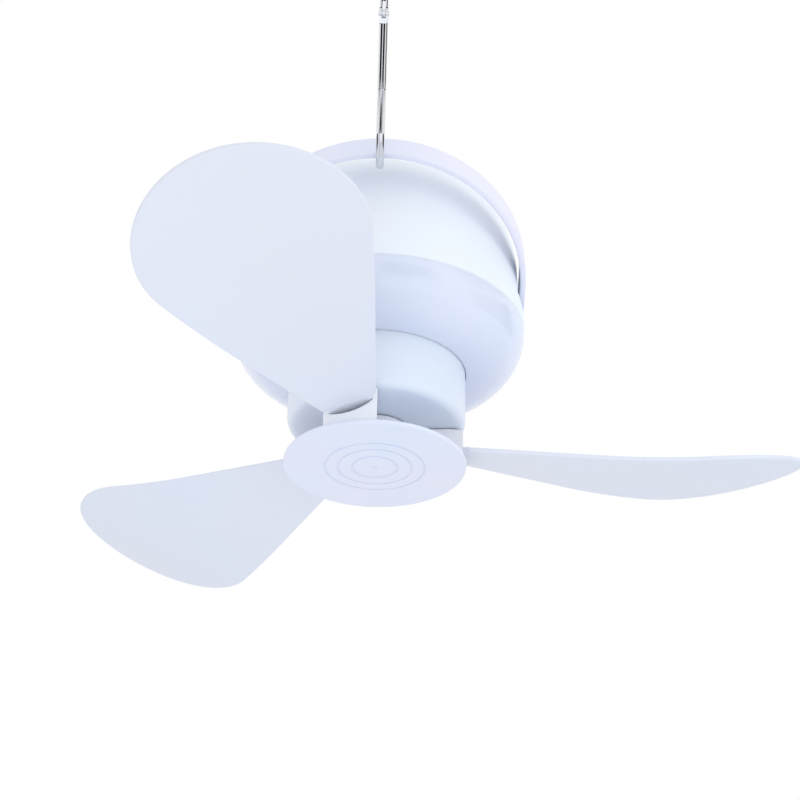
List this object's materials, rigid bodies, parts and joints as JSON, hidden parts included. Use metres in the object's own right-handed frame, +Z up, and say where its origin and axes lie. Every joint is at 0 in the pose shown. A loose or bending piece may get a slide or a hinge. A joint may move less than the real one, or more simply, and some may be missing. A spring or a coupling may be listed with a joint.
{
  "type": "portable hanging fan",
  "caption": "Hanging camping fan with removable pitched paddle blades on a hub cap, a round light bowl, a domed shell with a swinging strap bail, and a wire snap hook with a sprung gate.",
  "frame": {"origin": "middle of the hub cap's outer face, on the spin axis, the lowest point of the fan", "axes": "+Z up along the spin axis towards the shell, +X along the bail's hinge, -Y the side that the bail leans to, +Y the side with the buttons and the charging port"},
  "size_m": [0.3414, 0.3491, 0.181],
  "materials": {
    "shell_plastic": "fine satin",
    "diffuser_plastic": "translucent milk",
    "neck_plastic": "satin",
    "inner_plastic": "moulded",
    "light_board": "white solder mask",
    "lamp": "clear over phosphor",
    "screw_steel": "zinc plated",
    "motor_aluminium": "die cast",
    "bearing_steel": "ground",
    "core_steel": "laminated",
    "copper_wire": "enamelled",
    "motor_steel": "coated",
    "magnet": "sintered",
    "hub_plastic": "satin",
    "cap_plastic": "satin",
    "blade_plastic": "fine satin",
    "bail_plastic": "satin",
    "hook_chrome": "polished",
    "cell_wrap": "heat-shrink sleeve",
    "circuit_board": "green solder mask",
    "switch_plastic": "moulded",
    "port_steel": "stamped",
    "lens_plastic": "clear green",
    "button_plastic": "satin"
  },
  "bodies": {
    "housing": {"upper_shell": "shell_plastic", "light_bowl": "diffuser_plastic", "motor_housing": "neck_plastic", "deck": "inner_plastic", "led_board": "light_board", "leds": "lamp", "led_screws": "screw_steel", "flange_screws": "screw_steel", "shell_screws": "screw_steel", "motor_screws": "screw_steel", "motor_base": "motor_aluminium", "bearing_upper": "bearing_steel", "bearing_lower": "bearing_steel", "stator_core": "core_steel", "stator_coils": "copper_wire", "battery_tray": "inner_plastic", "battery_cell_1": "cell_wrap", "battery_cell_2": "cell_wrap", "battery_cell_3": "cell_wrap", "main_board": "circuit_board", "board_screws": "screw_steel", "tact_switches": "switch_plastic", "usb_port": "port_steel", "indicator_lens": "lens_plastic"},
    "rotor": {"rotor_can": "motor_steel", "rotor_magnets": "magnet", "motor_shaft": "bearing_steel", "shaft_clip": "bearing_steel", "blade_hub": "hub_plastic", "hub_nut": "screw_steel", "hub_cap": "cap_plastic"},
    "first_blade": {"blade_1": "blade_plastic"},
    "second_blade": {"blade_2": "blade_plastic"},
    "third_blade": {"blade_3": "blade_plastic"},
    "bail": {"bail_handle": "bail_plastic", "bail_washers": "screw_steel"},
    "hook": {"snap_hook": "hook_chrome"},
    "gate": {"hook_gate": "hook_chrome", "gate_pin": "screw_steel"},
    "fan_key": {"fan_button": "button_plastic"},
    "light_key": {"light_button": "button_plastic"}
  },
  "joints": [
    {"name": "fan_spin", "type": "hinge", "parent": "housing", "child": "rotor", "pos_m": [0, 0, 0.0115], "axis": [0, 0, 1], "continuous": true},
    {"name": "blade_1_pull", "type": "slide", "parent": "rotor", "child": "first_blade", "axis": [0.9759, 0.2181, 0], "range_m": [0, 0.026]},
    {"name": "blade_2_pull", "type": "slide", "parent": "rotor", "child": "second_blade", "axis": [-0.6769, 0.7361, 0], "range_m": [0, 0.026]},
    {"name": "blade_3_pull", "type": "slide", "parent": "rotor", "child": "third_blade", "axis": [-0.299, -0.9542, 0], "range_m": [0, 0.026]},
    {"name": "bail_swing", "type": "hinge", "parent": "housing", "child": "bail", "pos_m": [0, 0, 0.0806], "axis": [1, 0, 0], "range_deg": [-137, 8]},
    {"name": "hook_swing", "type": "hinge", "parent": "bail", "child": "hook", "pos_m": [-0.0015, -0.07976, 0.1181], "axis": [1, 0, 0], "range_deg": [-50, 110]},
    {"name": "gate_open", "type": "hinge", "parent": "hook", "child": "gate", "pos_m": [-0.0015, -0.11539, 0.15642], "axis": [1, 0, 0], "range_deg": [0, 25], "stiffness_Nm_per_rad": 0.02, "springref_deg": -17.19},
    {"name": "fan_button_press", "type": "slide", "parent": "housing", "child": "fan_key", "axis": [0, -1, 0], "range_m": [0, 0.001], "stiffness_N_per_m": 900, "springref_m": -0.0005},
    {"name": "light_button_press", "type": "slide", "parent": "housing", "child": "light_key", "axis": [0, -1, 0], "range_m": [0, 0.001], "stiffness_N_per_m": 900, "springref_m": -0.0005}
  ]
}
